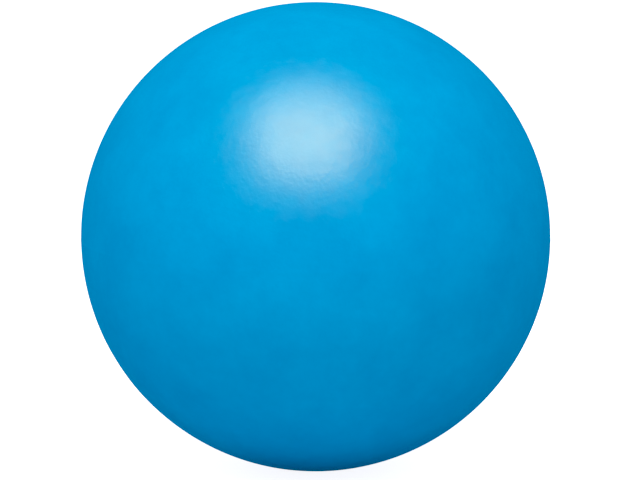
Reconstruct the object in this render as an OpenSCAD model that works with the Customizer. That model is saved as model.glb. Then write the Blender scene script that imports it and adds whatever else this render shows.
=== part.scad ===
// Stress ball: a ball of moulded polyurethane foam that is squeezed in the hand.
// The origin is the lowest point, where the ball touches the desk, and +Z is up.
// The mould parts on the level plane halfway up the ball, and it was filled through a gate at the bottom.

/* [Ball] */
// Outside diameter of the painted ball
ball_d = 63; // [60:0.5:70]

/* [Layers] */
// Thickness of the sprayed colour coat
coat_t = 0.15; // [0.1:0.05:0.4]
// Thickness of the dense skin that the foam forms against the mould
skin_t = 1.4; // [0.8:0.1:3]

/* [Pour gate] */
// Diameter of the foam plug that is left in the gate's hole
gate_d = 6; // [3:0.5:10]

/* [Hidden] */
$fn = 96;

ball_r = ball_d / 2;
skin_r = ball_r - coat_t;
core_r = skin_r - skin_t;

// The parting plane's height, which is also the height of every layer's centre
parting_z = ball_r;

LOWER = -1;
UPPER = 1;

// A ball of radius r about the common centre of the layers
module layer_ball(r) {
    translate([0, 0, parting_z]) sphere(r = r);
}

// The wall between two radii, all the way round
module layer_shell(outer_r, inner_r) {
    difference() {
        layer_ball(outer_r);
        layer_ball(inner_r);
    }
}

// What lies on one side of the parting plane: side is LOWER or UPPER
module one_side(side) {
    intersection() {
        children();
        translate([0, 0, parting_z + side * ball_r]) cube([2 * ball_d, 2 * ball_d, ball_d], center = true);
    }
}

// The round column of the pour gate, from below the ball up to its middle
module gate_column() {
    translate([0, 0, -ball_r]) cylinder(h = parting_z + ball_r, d = gate_d);
}

// Soft open-cell foam, which fills the ball
module foam_core() {
    color("lightcyan") layer_ball(core_r);
}

// Foam that cured in the gate, cut off flush with the skin
module gate_plug() {
    color("lightskyblue")
        intersection() {
            layer_shell(skin_r, core_r);
            gate_column();
        }
}

// Dense skin from the lower half of the mould, with the gate's hole through it
module skin_lower() {
    color("skyblue")
        difference() {
            one_side(LOWER) layer_shell(skin_r, core_r);
            gate_column();
        }
}

// Dense skin from the upper half of the mould
module skin_upper() {
    color("skyblue") one_side(UPPER) layer_shell(skin_r, core_r);
}

// Lacquer of the pass that coats the lower side, over the gate plug too
module coat_lower() {
    color([0, 0.58, 0.85]) one_side(LOWER) layer_shell(ball_r, skin_r);
}

// Lacquer of the pass that coats the upper side
module coat_upper() {
    color([0, 0.62, 0.87]) one_side(UPPER) layer_shell(ball_r, skin_r);
}

foam_core();
gate_plug();
skin_lower();
skin_upper();
coat_lower();
coat_upper();
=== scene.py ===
# A stress ball of moulded polyurethane foam, built from the middle outwards as the real one is layered:
# foam core, gate plug, the two halves of the skin, and the colour coat over all of it.
import math

import bpy
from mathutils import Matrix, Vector


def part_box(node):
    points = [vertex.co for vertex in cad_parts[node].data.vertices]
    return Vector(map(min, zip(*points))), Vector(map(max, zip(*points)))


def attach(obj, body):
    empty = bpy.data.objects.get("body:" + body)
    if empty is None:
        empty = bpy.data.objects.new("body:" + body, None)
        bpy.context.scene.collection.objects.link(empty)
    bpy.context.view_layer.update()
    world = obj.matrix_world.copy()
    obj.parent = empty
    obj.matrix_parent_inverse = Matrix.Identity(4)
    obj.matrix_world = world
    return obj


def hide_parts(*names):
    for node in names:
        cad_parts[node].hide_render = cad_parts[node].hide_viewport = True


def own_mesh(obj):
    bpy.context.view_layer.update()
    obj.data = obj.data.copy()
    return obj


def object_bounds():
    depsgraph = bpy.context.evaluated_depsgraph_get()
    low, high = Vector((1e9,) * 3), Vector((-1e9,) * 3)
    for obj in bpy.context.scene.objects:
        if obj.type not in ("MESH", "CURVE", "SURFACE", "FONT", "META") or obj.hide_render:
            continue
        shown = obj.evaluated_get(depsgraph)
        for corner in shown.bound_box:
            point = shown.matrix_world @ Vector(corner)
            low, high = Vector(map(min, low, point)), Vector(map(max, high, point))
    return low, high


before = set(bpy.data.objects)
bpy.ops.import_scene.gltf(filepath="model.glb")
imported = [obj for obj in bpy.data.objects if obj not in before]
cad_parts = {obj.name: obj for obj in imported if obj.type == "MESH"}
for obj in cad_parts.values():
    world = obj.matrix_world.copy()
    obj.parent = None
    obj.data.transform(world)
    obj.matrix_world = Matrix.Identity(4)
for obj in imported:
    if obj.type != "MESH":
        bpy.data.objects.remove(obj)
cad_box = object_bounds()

# ---- Camera -------------------------------------------------------------------------------------------
# A long lens that looks slightly down on the ball from the front. The ball nearly fills the height of the
# view, and sits a little up and left of its middle.
MM = 0.001  # all lengths are in metres
LENS = 120.0  # mm
SENSOR = 36.0  # mm
CAMERA_RISE = math.radians(8)
BALL_SHARE = 0.7335  # the ball's diameter in the view, as a share of the view's width
SHIFT_RIGHT, SHIFT_UP = 0.0067, -0.0053  # of the lens, as shares of the view's width
NEAREST_SEEN, FARTHEST_SEEN = 10 * MM, 20000 * MM

ball_low, ball_high = cad_box
ball_r = (ball_high.z - ball_low.z) / 2
ball_middle = (ball_low + ball_high) / 2

# The outline is where the sight lines graze the ball, so the distance follows from their angle.
graze = math.atan(BALL_SHARE / 2 * SENSOR / LENS)
camera_way = Vector((0, -math.cos(CAMERA_RISE), math.sin(CAMERA_RISE)))
bpy.ops.object.camera_add(
    location=ball_middle + camera_way * ball_r / math.sin(graze),
    rotation=(math.pi / 2 - CAMERA_RISE, 0, 0),
)
camera = bpy.context.object
camera.name = "product_camera"
camera.data.lens = LENS
camera.data.sensor_width = SENSOR
camera.data.shift_x = SHIFT_RIGHT
camera.data.shift_y = SHIFT_UP
camera.data.clip_start = NEAREST_SEEN
camera.data.clip_end = FARTHEST_SEEN
bpy.context.scene.camera = camera

# ---- Foam core ----------------------------------------------------------------------------------------
# Soft open-cell polyurethane foam. The liquid is poured in, foams up and fills the mould, so the core is a
# ball with the foam's open cells all over it. It grows together with the skin and isn't fixed otherwise.
CORE_ROOM = 0.04 * MM  # kept between the core and the skin round it
CORE_CUTS = 55  # squares along each edge of the cube that becomes a ball, less one
CELL = 2.2 * MM  # the widest cells, next to the skin
FINE_CELL = CELL / 4
CELL_DEPTH = 0.25 * MM
# The second colour is painted shade, laid into the hollows of the foam's cells.
FOAM_PALE, FOAM_PAINTED_SHADE = "#dfe6e6", "#b9c9cf"
FOAM_ROUGHNESS = 0.95
POLYURETHANE_IOR = 1.5

core_low, core_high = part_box("foam_core")
core_r = (core_high.z - core_low.z) / 2


def deselect_all():
    """Leaves object mode's selection empty, because an operator acts on all that is selected."""
    if bpy.context.object and bpy.context.object.mode != "OBJECT":
        bpy.ops.object.mode_set(mode="OBJECT")
    bpy.ops.object.select_all(action="DESELECT")


def select_only(piece):
    """Selects the piece alone and makes it the one that operators and modifiers act on."""
    deselect_all()
    piece.select_set(True)
    bpy.context.view_layer.objects.active = piece


def settle(piece, name):
    """Names a finished piece and puts its place into its mesh, with its object at the origin."""
    select_only(piece)
    bpy.ops.object.transform_apply(location=True, rotation=True, scale=True)
    piece.name = name
    piece.data.name = name


def round_ball(radius, cuts):
    """A ball of even squares: a cube that is cut up, rounded and smoothed. It has no poles to pinch."""
    deselect_all()
    bpy.ops.mesh.primitive_cube_add(size=2 * radius, location=ball_middle)
    bpy.ops.object.mode_set(mode="EDIT")
    bpy.ops.mesh.select_all(action="SELECT")
    bpy.ops.mesh.subdivide(number_cuts=cuts)
    bpy.ops.object.mode_set(mode="OBJECT")
    ball = bpy.context.object
    rounding = ball.modifiers.new("rounding", "CAST")
    rounding.factor = 1
    rounding.use_radius_as_size = False
    rounding.size = radius
    bpy.ops.object.modifier_apply(modifier=rounding.name)
    bpy.ops.object.shade_smooth()
    return ball


def push(piece, texture_kind, size, height, middle, group=""):
    """Moves the surface along its normals by a pattern. Its middle level leaves the surface in place."""
    select_only(piece)
    pattern = bpy.data.textures.new(piece.name + "_" + texture_kind.lower(), texture_kind)
    pattern.noise_scale = size
    pushing = piece.modifiers.new("pushing", "DISPLACE")
    pushing.texture = pattern
    pushing.texture_coords = "LOCAL"
    pushing.strength = height
    pushing.mid_level = middle
    pushing.vertex_group = group
    bpy.ops.object.modifier_apply(modifier=pushing.name)


def keep_rest_place(piece):
    """Stores where each point is at rest, so that the finish stays on the surface in a squeeze."""
    places = piece.data.attributes.new("rest_place", "FLOAT_VECTOR", "POINT")
    for place, vertex in zip(places.data, piece.data.vertices):
        place.vector = vertex.co


def flatten_with_squeeze(piece):
    """The piece rides with the half on the desk, on a mesh of its own."""
    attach(piece, "lower_half")
    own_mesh(piece)


def linear(hex_colour):
    """An sRGB hex colour as linear red, green and blue, with alpha 1."""
    shares = [int(hex_colour[place : place + 2], 16) / 255 for place in (1, 3, 5)]
    return [s / 12.92 if s <= 0.04045 else ((s + 0.055) / 1.055) ** 2.4 for s in shares] + [1]


def add_node(tree, kind, feeds, **settings):
    """Adds a node. feeds names its sockets, each with its value or with the socket that feeds it."""
    made = tree.nodes.new(kind)
    for name, value in settings.items():
        setattr(made, name, value)
    sockets = {socket.identifier: socket for socket in made.inputs}
    for name, value in feeds.items():
        if isinstance(value, bpy.types.NodeSocket):
            tree.links.new(value, sockets[name])
        else:
            sockets[name].default_value = value
    return made


def new_material(name):
    """An empty node material and its tree."""
    material = bpy.data.materials.new(name)
    material.use_nodes = True
    material.node_tree.nodes.clear()
    return material, material.node_tree


def open_cell_foam():
    """Open-cell polyurethane foam, as cured: pale, matte, and pitted by cells, with painted shade in their
    hollows.
    """
    material, tree = new_material("open_cell_polyurethane_foam")
    place = add_node(tree, "ShaderNodeAttribute", {}, attribute_name="rest_place").outputs["Vector"]
    cells = add_node(tree, "ShaderNodeTexVoronoi", {"Vector": place, "Scale": 1 / CELL})
    fine_cells = add_node(tree, "ShaderNodeTexVoronoi", {"Vector": place, "Scale": 1 / FINE_CELL})
    # How deep the cells are: it drives the relief, and also the painted shade in the colour below.
    hollow_depth_and_shade = add_node(
        tree,
        "ShaderNodeMath",
        {"Value": cells.outputs["Distance"], "Value_001": fine_cells.outputs["Distance"]},
        operation="MULTIPLY",
    ).outputs["Value"]
    # Painted shade: the foam is drawn darker where the cells are deep, as if shade lay in their hollows.
    colour = add_node(
        tree,
        "ShaderNodeMix",
        {"Factor_Float": hollow_depth_and_shade, "A_Color": linear(FOAM_PAINTED_SHADE), "B_Color": linear(FOAM_PALE)},
        data_type="RGBA",
    ).outputs[2]
    relief = add_node(tree, "ShaderNodeBump", {"Height": hollow_depth_and_shade, "Distance": CELL_DEPTH, "Strength": 1.0})
    shader = add_node(
        tree,
        "ShaderNodeBsdfPrincipled",
        {
            "Base Color": colour,
            "Roughness": FOAM_ROUGHNESS,
            "IOR": POLYURETHANE_IOR,
            "Normal": relief.outputs["Normal"],
        },
    )
    add_node(tree, "ShaderNodeOutputMaterial", {"Surface": shader.outputs["BSDF"]})
    return material


foam = open_cell_foam()

foam_core = round_ball(core_r - CORE_ROOM, CORE_CUTS)
settle(foam_core, "foam_core_cells")
push(foam_core, "VORONOI", CELL, -CELL_DEPTH, middle=0.0)
foam_core.data.materials.append(foam)
keep_rest_place(foam_core)
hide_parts("foam_core")
flatten_with_squeeze(foam_core)

# ---- Gate plug ----------------------------------------------------------------------------------------
# Foam that rose into the pour gate at the bottom and cured there. It is one with the core, and is cut off
# by hand, flush with the skin, so its outer end shows open cells that the knife has dragged a little.
PLUG_ROOM = 0.03 * MM  # kept round the plug and at both its ends
PLUG_SIDES = 64
PLUG_RINGS = 6  # on each end, so that the ends can follow the ball
PLUG_CUTS = 5  # along its side
PLUG_ROUNDING = 0.12 * MM
ROUNDING_ROWS = 3
KNIFE_MARKS = 0.6 * MM  # spacing of the cells that the knife dragged open
KNIFE_DEPTH = 0.04 * MM
SHARP = math.radians(40)  # a bend sharper than this is an edge
LEVEL = 0.9  # upward share of the normal from which a face counts as level
NEAR = 0.01 * MM  # nearer than this counts as the same place

plug_low, plug_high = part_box("gate_plug")
skin_low, skin_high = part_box("skin_upper")
skin_r = skin_high.z - skin_low.z
plug_r = (plug_high.x - plug_low.x) / 2 - PLUG_ROOM


def on_sphere_below(radius, place):
    """The height of the underside of a sphere about the ball's middle, at that place's x and y."""
    return ball_middle.z - math.sqrt(radius**2 - place.x**2 - place.y**2)


def choose(piece, kind, wanted):
    """Leaves edit mode's selection at the piece's vertices, edges or faces that the test wants."""
    bpy.ops.object.mode_set(mode="EDIT")
    bpy.ops.mesh.select_mode(type=kind)
    bpy.ops.mesh.select_all(action="DESELECT")
    bpy.ops.object.mode_set(mode="OBJECT")
    items = {"VERT": piece.data.vertices, "EDGE": piece.data.edges, "FACE": piece.data.polygons}[kind]
    for item in items:
        item.select = wanted(item)
    bpy.ops.object.mode_set(mode="EDIT")


def along_side(edge):
    """Whether the edge runs up the plug's side, from one end to the other."""
    low, high = sorted(plug.data.vertices[end].co.z for end in edge.vertices)
    return high - low > MM


plug_height = plug_high.z - plug_low.z
deselect_all()
bpy.ops.mesh.primitive_cylinder_add(
    vertices=PLUG_SIDES,
    radius=plug_r,
    depth=plug_height,
    location=(0, 0, plug_low.z + plug_height / 2),
)
plug = bpy.context.object
settle(plug, "gate_plug_cut_foam")
choose(plug, "FACE", lambda face: abs(face.normal.z) > LEVEL)
for ring in range(PLUG_RINGS):
    bpy.ops.mesh.inset(thickness=plug_r / (PLUG_RINGS + 1), use_individual=True)
bpy.ops.mesh.poke()
choose(plug, "EDGE", along_side)
bpy.ops.mesh.subdivide(number_cuts=PLUG_CUTS)
bpy.ops.object.mode_set(mode="OBJECT")
for vertex in plug.data.vertices:
    cut_end = on_sphere_below(skin_r - PLUG_ROOM, vertex.co)
    core_end = on_sphere_below(core_r + PLUG_ROOM, vertex.co)
    share = (vertex.co.z - plug_low.z) / plug_height
    vertex.co.z = cut_end + share * (core_end - cut_end)
select_only(plug)
rounding = plug.modifiers.new("rounding", "BEVEL")
rounding.width = PLUG_ROUNDING
rounding.segments = ROUNDING_ROWS
rounding.limit_method = "ANGLE"
rounding.angle_limit = SHARP
bpy.ops.object.modifier_apply(modifier=rounding.name)
bpy.ops.object.shade_smooth()
knife_cut = plug.vertex_groups.new(name="cut_end")
for vertex in plug.data.vertices:
    if vertex.co.z < on_sphere_below(skin_r - PLUG_ROOM, vertex.co) + NEAR:
        knife_cut.add([vertex.index], 1.0, "REPLACE")
push(plug, "CLOUDS", KNIFE_MARKS, -KNIFE_DEPTH, middle=0.0, group="cut_end")
plug.data.materials.append(foam)
keep_rest_place(plug)
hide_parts("gate_plug")
flatten_with_squeeze(plug)

# ---- Skin ---------------------------------------------------------------------------------------------
# Dense skin that the foam forms where it meets the cold mould, one half in each half of the mould. The
# halves grow together at the parting plane. The lower one has the round hole of the pour gate.
SKIN_CUTS = 63
SKIN_ROOM = 0.03 * MM  # kept to the coat outside and to the core inside
PARTING_ROOM = 0.02 * MM
SKIN_BLUE, SKIN_SHADE = "#7fb6cc", "#6fa5bd"
SKIN_ROUGHNESS = 0.75
SKIN_FLOW = 8 * MM  # spacing of the paler and darker streaks where the foam rose along the mould
SKIN_PORE = 0.5 * MM
PORE_DEPTH = 0.02 * MM


def foam_skin():
    """Integral polyurethane foam skin, as moulded: dull, tinted through, with closed pinholes."""
    material, tree = new_material("moulded_polyurethane_foam_skin")
    place = add_node(tree, "ShaderNodeAttribute", {}, attribute_name="rest_place").outputs["Vector"]
    pores = add_node(tree, "ShaderNodeTexVoronoi", {"Vector": place, "Scale": 1 / SKIN_PORE})
    flow = add_node(tree, "ShaderNodeTexNoise", {"Vector": place, "Scale": 1 / SKIN_FLOW, "Detail": 4.0})
    colour = add_node(
        tree,
        "ShaderNodeMix",
        {"Factor_Float": flow.outputs["Fac"], "A_Color": linear(SKIN_SHADE), "B_Color": linear(SKIN_BLUE)},
        data_type="RGBA",
    ).outputs[2]
    relief = add_node(
        tree,
        "ShaderNodeBump",
        {"Height": pores.outputs["Distance"], "Distance": PORE_DEPTH, "Strength": 1.0},
    )
    shader = add_node(
        tree,
        "ShaderNodeBsdfPrincipled",
        {
            "Base Color": colour,
            "Roughness": SKIN_ROUGHNESS,
            "IOR": POLYURETHANE_IOR,
            "Normal": relief.outputs["Normal"],
        },
    )
    add_node(tree, "ShaderNodeOutputMaterial", {"Surface": shader.outputs["BSDF"]})
    return material


def skin_half(name, side):
    """Half a hollow ball on that side of the parting plane: a ball cut there and thickened inwards."""
    half = round_ball(skin_r - SKIN_ROOM, SKIN_CUTS)
    settle(half, name)
    choose(half, "FACE", lambda face: True)
    bpy.ops.mesh.bisect(
        plane_co=ball_middle + Vector((0, 0, side * PARTING_ROOM / 2)),
        plane_no=(0, 0, side),
        clear_inner=True,
        clear_outer=False,
    )
    bpy.ops.object.mode_set(mode="OBJECT")
    wall = half.modifiers.new("wall", "SOLIDIFY")
    wall.thickness = skin_r - core_r - 2 * SKIN_ROOM
    wall.offset = -1
    bpy.ops.object.modifier_apply(modifier=wall.name)
    return half


skin_upper = skin_half("skin_upper_moulded", 1)
skin_lower = skin_half("skin_lower_moulded", -1)

# The mould's gate leaves the hole: a core of the plug's width, long enough to go right through the skin.
deselect_all()
bpy.ops.mesh.primitive_cylinder_add(
    vertices=PLUG_SIDES, radius=plug_r + PLUG_ROOM, depth=4 * (skin_r - core_r), location=(0, 0, 0)
)
gate_core = bpy.context.object
select_only(skin_lower)
gate_hole = skin_lower.modifiers.new("gate_hole", "BOOLEAN")
gate_hole.operation = "DIFFERENCE"
gate_hole.solver = "EXACT"
gate_hole.object = gate_core
bpy.ops.object.modifier_apply(modifier=gate_hole.name)
select_only(gate_core)
bpy.ops.object.delete()

skin_material = foam_skin()
for skin, node in ((skin_upper, "skin_upper"), (skin_lower, "skin_lower")):
    select_only(skin)
    bpy.ops.object.shade_smooth_by_angle(angle=SHARP)
    skin.data.materials.append(skin_material)
    keep_rest_place(skin)
    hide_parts(node)
    flatten_with_squeeze(skin)

# ---- Colour coat --------------------------------------------------------------------------------------
# Flexible polyurethane lacquer, sprayed on in two passes, one from each side, and the last thing to go on.
# It hides the trimmed parting line and the cut gate plug, which only just show through it as low relief.
COAT_CUTS = 87  # an odd number, so that a loop of edges lies on the parting plane
FILM_CUTS = 31  # of the film's inner side, which stays plain
UNEVEN = 11 * MM  # spacing of the slight unevenness that foam keeps from shrinking as it cures
UNEVEN_HEIGHT = 0.05 * MM
FLASH_HALF = 0.32 * MM  # half the width of the trimmed parting line
FLASH_ROWS = 6  # of faces across it
FLASH_FRONT, FLASH_BACK = 0.004 * MM, 0.08 * MM  # its height where it was trimmed cleanest, and opposite
SCAR_RING = 0.7 * MM  # width of the lip that the coat keeps round the gate plug
SCAR_HEIGHT, SCAR_DIP = 0.06 * MM, 0.08 * MM  # of the lip, and of the dip that it goes round
COAT_BLUE, COAT_DEEP = "#00a5e2", "#0087c8"
MOTTLE = 8 * MM  # spacing of the slight differences in the coat's thickness, which show as shade
MOTTLE_LAYERS, MOTTLE_FINENESS = 8.0, 0.72  # how many finer mottles lie on it, and how strong they are
PEEL = 1.2 * MM  # spacing of the lacquer's orange peel
PEEL_HEIGHT = 0.024 * MM
GRAIN = 0.4 * MM  # dried spray droplets, which are finer on a real ball and drawn as coarse as they show
GRAIN_HEIGHT = 0.012 * MM
SATIN_LOW, SATIN_HIGH = 0.28, 0.35  # roughness where the spray fell wet, and where it fell dry
SPRAY_PATCH = 1.4 * MM  # spacing of those places
NOISE_LOW, NOISE_HIGH = 0.25, 0.75  # the levels that a noise keeps between, nearly everywhere


def sprayed_lacquer():
    """Flexible polyurethane lacquer, sprayed: satin, with orange peel, fine grain and a faint mottle."""
    material, tree = new_material("sprayed_polyurethane_lacquer")
    place = add_node(tree, "ShaderNodeAttribute", {}, attribute_name="rest_place").outputs["Vector"]
    mottle = add_node(
        tree,
        "ShaderNodeTexNoise",
        {
            "Vector": place,
            "Scale": 1 / MOTTLE,
            "Detail": MOTTLE_LAYERS,
            "Roughness": MOTTLE_FINENESS,
        },
    )
    colour = add_node(
        tree,
        "ShaderNodeMix",
        {"Factor_Float": mottle.outputs["Fac"], "A_Color": linear(COAT_DEEP), "B_Color": linear(COAT_BLUE)},
        data_type="RGBA",
    ).outputs[2]
    patches = add_node(
        tree, "ShaderNodeTexNoise", {"Vector": place, "Scale": 1 / SPRAY_PATCH, "Detail": 4.0}
    )
    satin = add_node(
        tree,
        "ShaderNodeMapRange",
        {
            "Value": patches.outputs["Fac"],
            "From Min": NOISE_LOW,
            "From Max": NOISE_HIGH,
            "To Min": SATIN_LOW,
            "To Max": SATIN_HIGH,
        },
    )
    peel = add_node(tree, "ShaderNodeTexNoise", {"Vector": place, "Scale": 1 / PEEL, "Detail": 2.0})
    grain = add_node(tree, "ShaderNodeTexNoise", {"Vector": place, "Scale": 1 / GRAIN, "Detail": 2.0})
    peel_relief = add_node(
        tree, "ShaderNodeBump", {"Height": peel.outputs["Fac"], "Distance": PEEL_HEIGHT, "Strength": 1.0}
    )
    relief = add_node(
        tree,
        "ShaderNodeBump",
        {
            "Height": grain.outputs["Fac"],
            "Distance": GRAIN_HEIGHT,
            "Strength": 1.0,
            "Normal": peel_relief.outputs["Normal"],
        },
    )
    shader = add_node(
        tree,
        "ShaderNodeBsdfPrincipled",
        {
            "Base Color": colour,
            "Roughness": satin.outputs["Result"],
            "IOR": POLYURETHANE_IOR,
            "Normal": relief.outputs["Normal"],
        },
    )
    add_node(tree, "ShaderNodeOutputMaterial", {"Surface": shader.outputs["BSDF"]})
    return material


def raise_group(piece, name, height, weight_at):
    """Raises the surface along its normals, by that height times a weight that depends on the place."""
    group = piece.vertex_groups.new(name=name)
    for vertex in piece.data.vertices:
        weight = weight_at(vertex.co - ball_middle)
        if weight > 0:
            group.add([vertex.index], weight, "REPLACE")
    select_only(piece)
    raising = piece.modifiers.new("raising", "DISPLACE")
    raising.mid_level = 0
    raising.strength = height
    raising.vertex_group = name
    bpy.ops.object.modifier_apply(modifier=raising.name)


def soft_hump(distance, half_width):
    """1 at distance 0, and smoothly down to 0 at the half width."""
    return max(0.0, 1 - (distance / half_width) ** 2) ** 2


def flash_weight(place):
    """The parting line: round the middle, faintest at the front and strongest at the back."""
    back = (1 + place.y / place.length) / 2
    share = FLASH_FRONT / FLASH_BACK
    return soft_hump(place.z, FLASH_HALF) * (share + (1 - share) * back**2)


def scar_lip_weight(place):
    """The lip that the coat keeps over the edge of the gate plug, underneath."""
    off_lip = math.hypot(place.x, place.y) - plug_r
    return soft_hump(off_lip, SCAR_RING) if place.z < 0 else 0.0


def scar_dip_weight(place):
    """The shallow dip over the cut end of the gate plug, where the knife took a little too much."""
    off_axis = math.hypot(place.x, place.y)
    return soft_hump(off_axis, plug_r) if place.z < 0 else 0.0


def on_parting_plane(edge):
    """Whether both ends of the edge lie on the level plane through the ball's middle."""
    return all(abs(coat.data.vertices[end].co.z - ball_middle.z) < NEAR for end in edge.vertices)


coat = round_ball(ball_r, COAT_CUTS)
settle(coat, "colour_coat")
choose(coat, "EDGE", on_parting_plane)
bpy.ops.mesh.bevel(offset=FLASH_HALF, segments=FLASH_ROWS, affect="EDGES")
bpy.ops.object.mode_set(mode="OBJECT")
for vertex in coat.data.vertices:
    vertex.co = ball_middle + (vertex.co - ball_middle).normalized() * ball_r
bpy.ops.object.shade_smooth()
push(coat, "CLOUDS", UNEVEN, UNEVEN_HEIGHT, middle=0.5)
raise_group(coat, "parting_line", FLASH_BACK, flash_weight)
raise_group(coat, "gate_lip", SCAR_HEIGHT, scar_lip_weight)
raise_group(coat, "gate_dip", -SCAR_DIP, scar_dip_weight)

# The film's inner side lies on the skin and is turned inside out, so that the coat is a closed wall.
film = round_ball(skin_r, FILM_CUTS)
settle(film, "film_inner_side")
bpy.ops.object.mode_set(mode="EDIT")
bpy.ops.mesh.select_all(action="SELECT")
bpy.ops.mesh.flip_normals()
bpy.ops.object.mode_set(mode="OBJECT")
select_only(coat)
film.select_set(True)
bpy.ops.object.join()
coat.data.materials.append(sprayed_lacquer())
keep_rest_place(coat)
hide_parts("coat_lower", "coat_upper")
flatten_with_squeeze(coat)

# ---- Studio -------------------------------------------------------------------------------------------
# A wide floor of white paper, and one large softbox high in front of the ball, in a pale room that fills
# the shadows. The room is dim and blue in the reflections, so the rim of the ball stays deep blue.
SOFTBOX_WAY = 350 * MM  # from the ball's middle
SOFTBOX_TURN = math.radians(-6)  # to the left
SOFTBOX_RISE = math.radians(58)
SOFTBOX_WIDTH, SOFTBOX_HEIGHT = 300 * MM, 325 * MM
SOFTBOX_WATTS = 1.05
SOFTBOX_COLOUR = (1.0, 1.0, 0.82)  # linear, like the colours of all light here
SHEEN_RISE = math.radians(51.6)
SHEEN_WIDTH, SHEEN_HEIGHT = 240 * MM, 200 * MM
SHEEN_WATTS = 1.09
SHEEN_COLOUR = (1.0, 0.5, 0.04)
GLOW_RISE = math.radians(54)
GLOW_WIDTH, GLOW_HEIGHT = 540 * MM, 480 * MM
GLOW_WATTS = 0.5
GLOW_COLOUR = (0.1, 1.0, 0.0)
FLOOR_RADIUS = 5000 * MM
FLOOR_SIDES = 64
ROOM_LIGHT = 0.5
ROOM_COLOUR = (0.9, 0.88, 1.0, 1)
ROOM_REFLECTED = (0.0, 0.33, 0.63, 1)  # the dim blue surroundings, which only show in reflections
DARK_FROM, DARK_TO = -0.8, -0.1  # heights between which the reflected room comes up from the dark floor
CEILING_FROM, CEILING_TO = 0.7, 1.0  # heights between which it goes dark again overhead
ROOM_TILT = -0.13  # the reflected room leans, so that its right side is a little darker
WHITE = "#ffffff"
PAPER_WHITE = "#f6eef6"
PAPER_GLOW = 0.9  # what the lights behind the paper add, as the camera sees it


def way_up(rise, turn):
    """The direction at that rise over the horizon in front of the ball, turned that far to the right."""
    return Vector((math.sin(turn) * math.cos(rise), -math.cos(turn) * math.cos(rise), math.sin(rise)))


def softbox_light(name, shape, rise, width, height, watts, colour):
    """A softbox that faces the ball from that rise over the horizon."""
    way = way_up(rise, SOFTBOX_TURN)
    bpy.ops.object.light_add(type="AREA", location=ball_middle + way * SOFTBOX_WAY)
    light = bpy.context.object
    light.name = name
    light.rotation_euler = way.to_track_quat("Z", "Y").to_euler()
    light.data.shape = shape
    light.data.size = width
    light.data.size_y = height
    light.data.energy = watts
    light.data.color = colour
    return light


deselect_all()
bpy.ops.mesh.primitive_circle_add(
    vertices=FLOOR_SIDES, radius=FLOOR_RADIUS, fill_type="NGON", location=(0, 0, 0)
)
floor = bpy.context.object
floor.name = "floor"
floor.visible_glossy = False
# Uncoated paper, lit from behind as well: matte, and so even that only the ball's faint shadow shows.
paper, paper_tree = new_material("matte_white_paper")
paper_ray = add_node(paper_tree, "ShaderNodeLightPath", {})
paper_glow = add_node(
    paper_tree,
    "ShaderNodeMath",
    {"Value": paper_ray.outputs["Is Camera Ray"], "Value_001": PAPER_GLOW},
    operation="MULTIPLY",
)
paper_sheet = add_node(paper_tree, "ShaderNodeBsdfDiffuse", {"Color": linear(PAPER_WHITE)})
paper_light = add_node(
    paper_tree, "ShaderNodeEmission", {"Color": linear(WHITE), "Strength": paper_glow.outputs["Value"]}
)
lit_paper = add_node(
    paper_tree,
    "ShaderNodeAddShader",
    {"Shader": paper_sheet.outputs["BSDF"], "Shader_001": paper_light.outputs["Emission"]},
)
add_node(paper_tree, "ShaderNodeOutputMaterial", {"Surface": lit_paper.outputs["Shader"]})
floor.data.materials.append(paper)

world = bpy.data.worlds.new("studio")
bpy.context.scene.world = world
world.use_nodes = True
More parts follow.
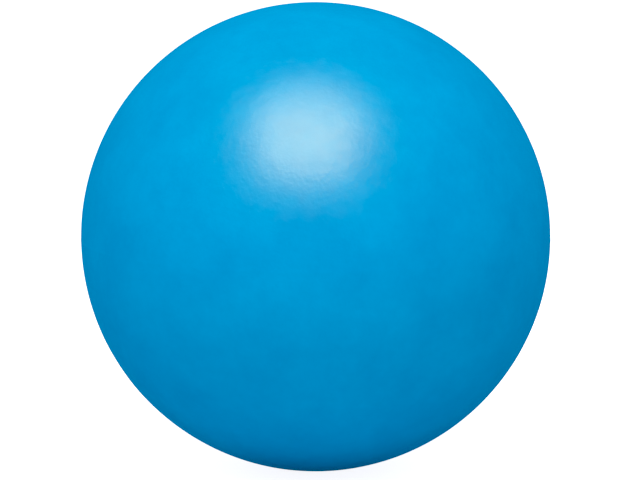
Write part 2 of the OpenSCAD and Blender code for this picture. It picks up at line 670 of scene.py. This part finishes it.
# Without sampling, every ray that meets the room keeps its kind, and the room can tell them apart.
world.cycles.sampling_method = "NONE"
room = world.node_tree
room.nodes.clear()
ray = add_node(room, "ShaderNodeLightPath", {})
lit_room = add_node(room, "ShaderNodeBackground", {"Color": ROOM_COLOUR, "Strength": ROOM_LIGHT})
direction = add_node(room, "ShaderNodeTexCoord", {}).outputs["Generated"]
height = add_node(
    room,
    "ShaderNodeVectorMath",
    {"Vector": direction, "Vector_001": (ROOM_TILT, 0, 1)},
    operation="DOT_PRODUCT",
).outputs["Value"]
above_floor = add_node(
    room, "ShaderNodeMapRange", {"Value": height, "From Min": DARK_FROM, "From Max": DARK_TO}
)
below_ceiling = add_node(
    room, "ShaderNodeMapRange", {"Value": height, "From Min": CEILING_TO, "From Max": CEILING_FROM}
)
room_shine = add_node(
    room,
    "ShaderNodeMath",
    {"Value": above_floor.outputs["Result"], "Value_001": below_ceiling.outputs["Result"]},
    operation="MULTIPLY",
)
reflected_room = add_node(
    room, "ShaderNodeBackground", {"Color": ROOM_REFLECTED, "Strength": room_shine.outputs["Value"]}
)
unseen_room = add_node(
    room,
    "ShaderNodeMixShader",
    {
        "Fac": ray.outputs["Is Glossy Ray"],
        "Shader": lit_room.outputs["Background"],
        "Shader_001": reflected_room.outputs["Background"],
    },
)
backdrop = add_node(room, "ShaderNodeBackground", {"Color": linear(WHITE), "Strength": 1.0})
studio = add_node(
    room,
    "ShaderNodeMixShader",
    {
        "Fac": ray.outputs["Is Camera Ray"],
        "Shader": unseen_room.outputs["Shader"],
        "Shader_001": backdrop.outputs["Background"],
    },
)
add_node(room, "ShaderNodeOutputWorld", {"Surface": studio.outputs["Shader"]})

softbox_light(
    "softbox", "ELLIPSE", SOFTBOX_RISE, SOFTBOX_WIDTH, SOFTBOX_HEIGHT, SOFTBOX_WATTS, SOFTBOX_COLOUR
)
# The hot middle of the softbox is a second light, which only shows in the lacquer's reflections.
sheen_light = softbox_light(
    "softbox_sheen", "RECTANGLE", SHEEN_RISE, SHEEN_WIDTH, SHEEN_HEIGHT, SHEEN_WATTS, SHEEN_COLOUR
)
sheen_light.visible_diffuse = False
# The cloth round the softbox catches a little of its light, which gives the sheen a wide faint border.
glow_light = softbox_light(
    "softbox_glow", "ELLIPSE", GLOW_RISE, GLOW_WIDTH, GLOW_HEIGHT, GLOW_WATTS, GLOW_COLOUR
)
glow_light.visible_diffuse = False

# The coat's blue is deeper than a screen can show, so the little red that is left in it is drawn as none.
DARKEST_RED = 0.025
colours = bpy.context.scene.view_settings
colours.view_transform = "Standard"
colours.use_curve_mapping = True
colours.curve_mapping.black_level = (DARKEST_RED, 0, 0)
colours.curve_mapping.update()
